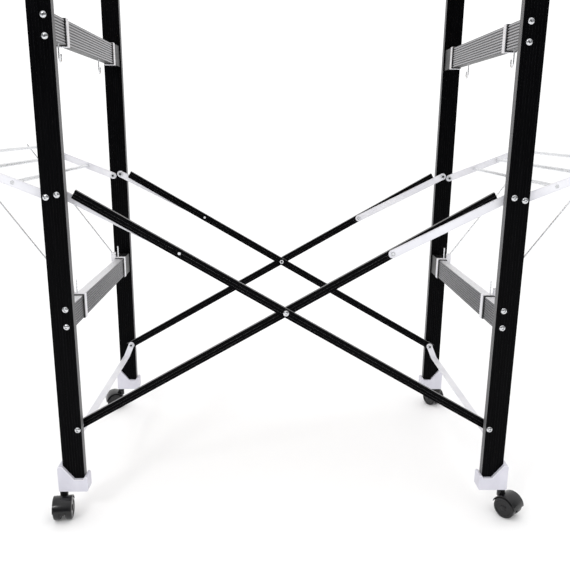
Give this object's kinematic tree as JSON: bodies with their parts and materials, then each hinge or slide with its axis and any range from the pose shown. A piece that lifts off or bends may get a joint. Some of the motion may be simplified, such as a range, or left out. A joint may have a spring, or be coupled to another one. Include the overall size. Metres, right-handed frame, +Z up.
{
  "type": "baker scaffold",
  "caption": "Folding wheeled work scaffold: two ribbed end frames on castors, scissor braces with links, fold-out side racks and a hinged deck.",
  "frame": {"origin": "centre of the footprint on the floor, under the crossing of the braces", "axes": "+X to the right end frame, +Y to the rear, +Z up"},
  "size_m": [1.3332, 0.6466, 1.257],
  "materials": {
    "black_legs": "gloss black ribbed extrusion",
    "silver_rails": "satin ribbed extrusion",
    "white_steel": "white gloss powder coat",
    "white_plastic": "moulded, pale",
    "black_plastic": "moulded, black",
    "black_braces": "satin black extrusion",
    "zinc_fixings": "bright zinc",
    "steel_wire": "bright drawn wire",
    "axle_steel": "plain steel",
    "castor_tread": "moulded nylon, black",
    "deck_aluminium": "satin mill finish",
    "deck_plywood": "varnished plywood"
  },
  "bodies": {
    "left_end": {"front_left_leg": "black_legs", "rear_left_leg": "black_legs", "left_leg_caps": "black_plastic", "left_feet": "white_plastic", "left_lower_rail": "silver_rails", "left_upper_rail": "silver_rails", "left_top_rail": "silver_rails", "left_rail_clips": "white_plastic", "left_clip_collars": "black_plastic", "left_wire_hooks": "steel_wire", "left_strap": "white_steel", "left_frame_bolts": "zinc_fixings", "left_pivot_bolts": "zinc_fixings", "left_spacers": "white_plastic", "deck_hinge_pin": "zinc_fixings"},
    "right_end": {"front_right_leg": "black_legs", "rear_right_leg": "black_legs", "right_leg_caps": "black_plastic", "right_feet": "white_plastic", "right_lower_rail": "silver_rails", "right_upper_rail": "silver_rails", "right_top_rail": "silver_rails", "right_rail_clips": "white_plastic", "right_clip_collars": "black_plastic", "right_wire_hooks": "steel_wire", "right_strap": "white_steel", "right_frame_bolts": "zinc_fixings", "right_pivot_bolts": "zinc_fixings", "right_spacers": "white_plastic"},
    "brace_a": {"front_brace_a": "black_braces", "rear_brace_a": "black_braces", "centre_bolts": "zinc_fixings", "brace_a_rivets": "zinc_fixings"},
    "brace_b": {"front_brace_b": "black_braces", "rear_brace_b": "black_braces", "brace_b_rivets": "zinc_fixings"},
    "left_link_pair": {"left_links": "white_steel", "left_link_rivets": "zinc_fixings"},
    "left_rack": {"left_rack_arms": "white_steel", "left_rack_rods": "white_steel"},
    "left_stay_pair": {"left_stays": "steel_wire"},
    "right_link_pair": {"right_links": "white_steel", "right_link_rivets": "zinc_fixings"},
    "right_rack": {"right_rack_arms": "white_steel", "right_rack_rods": "white_steel"},
    "right_stay_pair": {"right_stays": "steel_wire"},
    "deck": {"deck_frame": "deck_aluminium", "deck_board": "deck_plywood"},
    "front_left_castor": {"front_left_castor_body": "black_plastic", "front_left_axle": "axle_steel"},
    "front_left_wheel_pair": {"front_left_wheels": "castor_tread"},
    "front_right_castor": {"front_right_castor_body": "black_plastic", "front_right_axle": "axle_steel"},
    "front_right_wheel_pair": {"front_right_wheels": "castor_tread"},
    "rear_left_castor": {"rear_left_castor_body": "black_plastic", "rear_left_axle": "axle_steel"},
    "rear_left_wheel_pair": {"rear_left_wheels": "castor_tread"},
    "rear_right_castor": {"rear_right_castor_body": "black_plastic", "rear_right_axle": "axle_steel"},
    "rear_right_wheel_pair": {"rear_right_wheels": "castor_tread"}
  },
  "joints": [
    {"name": "fold", "type": "hinge", "parent": "left_end", "child": "brace_a", "pos_m": [-0.433, 0, 0.199], "axis": [0, -1, 0], "range_deg": [0, 53.5]},
    {"name": "scissor_centre", "type": "hinge", "parent": "brace_a", "child": "brace_b", "pos_m": [0, 0, 0.44899], "axis": [0, -1, 0], "range_deg": [-107.5, 0]},
    {"name": "right_end_pivot", "type": "hinge", "parent": "brace_b", "child": "right_end", "pos_m": [0.433, 0, 0.199], "axis": [0, -1, 0], "range_deg": [0, 54]},
    {"name": "left_link_swing", "type": "hinge", "parent": "left_end", "child": "left_link_pair", "pos_m": [-0.44, 0, 0.68788], "axis": [0, -1, 0], "range_deg": [0, 109.48]},
    {"name": "right_link_swing", "type": "hinge", "parent": "right_end", "child": "right_link_pair", "pos_m": [0.44, 0, 0.68788], "axis": [0, -1, 0], "range_deg": [-109.48, 0]},
    {"name": "left_rack_fold", "type": "hinge", "parent": "left_end", "child": "left_rack", "pos_m": [-0.461, 0, 0.683], "axis": [0, -1, 0], "range_deg": [0, 109.5]},
    {"name": "left_stay_swing", "type": "hinge", "parent": "left_end", "child": "left_stay_pair", "pos_m": [-0.45815, 0, 0.477], "axis": [0, -1, 0], "range_deg": [0, 138.89]},
    {"name": "right_rack_fold", "type": "hinge", "parent": "right_end", "child": "right_rack", "pos_m": [0.461, 0, 0.683], "axis": [0, 1, 0], "range_deg": [0, 109.5]},
    {"name": "right_stay_swing", "type": "hinge", "parent": "right_end", "child": "right_stay_pair", "pos_m": [0.45815, 0, 0.477], "axis": [0, 1, 0], "range_deg": [0, 138.89]},
    {"name": "deck_lift", "type": "hinge", "parent": "left_end", "child": "deck", "pos_m": [-0.44, 0, 1.245], "axis": [0, -1, 0], "range_deg": [0, 90]},
    {"name": "front_left_swivel", "type": "hinge", "parent": "left_end", "child": "front_left_castor", "pos_m": [-0.474, -0.275, 0.04], "axis": [0, 0, 1], "continuous": true},
    {"name": "front_left_roll", "type": "hinge", "parent": "front_left_castor", "child": "front_left_wheel_pair", "pos_m": [-0.47136, -0.29381, 0.0235], "axis": [0.9903, 0.1392, 0], "continuous": true},
    {"name": "front_right_swivel", "type": "hinge", "parent": "right_end", "child": "front_right_castor", "pos_m": [0.474, -0.275, 0.04], "axis": [0, 0, 1], "continuous": true},
    {"name": "front_right_roll", "type": "hinge", "parent": "front_right_castor", "child": "front_right_wheel_pair", "pos_m": [0.48621, -0.28956, 0.0235], "axis": [0.766, 0.6428, 0], "continuous": true},
    {"name": "rear_left_swivel", "type": "hinge", "parent": "left_end", "child": "rear_left_castor", "pos_m": [-0.474, 0.275, 0.04], "axis": [0, 0, 1], "continuous": true},
    {"name": "rear_left_roll", "type": "hinge", "parent": "rear_left_castor", "child": "rear_left_wheel_pair", "pos_m": [-0.49185, 0.2685, 0.0235], "axis": [0.342, -0.9397, 0], "continuous": true},
    {"name": "rear_right_swivel", "type": "hinge", "parent": "right_end", "child": "rear_right_castor", "pos_m": [0.474, 0.275, 0.04], "axis": [0, 0, 1], "continuous": true},
    {"name": "rear_right_roll", "type": "hinge", "parent": "rear_right_castor", "child": "rear_right_wheel_pair", "pos_m": [0.4645, 0.29145, 0.0235], "axis": [-0.866, -0.5, 0], "continuous": true}
  ],
  "couplings": [
    {"joint": "scissor_centre", "follows": "fold", "ratio": -2},
    {"joint": "right_end_pivot", "follows": "fold", "ratio": 1},
    {"joint": "left_link_swing", "follows": "fold", "ratio": 2.0371},
    {"joint": "right_link_swing", "follows": "fold", "ratio": -2.0371},
    {"joint": "left_stay_swing", "follows": "left_rack_fold", "ratio": 1.2638},
    {"joint": "right_stay_swing", "follows": "right_rack_fold", "ratio": 1.2638}
  ]
}
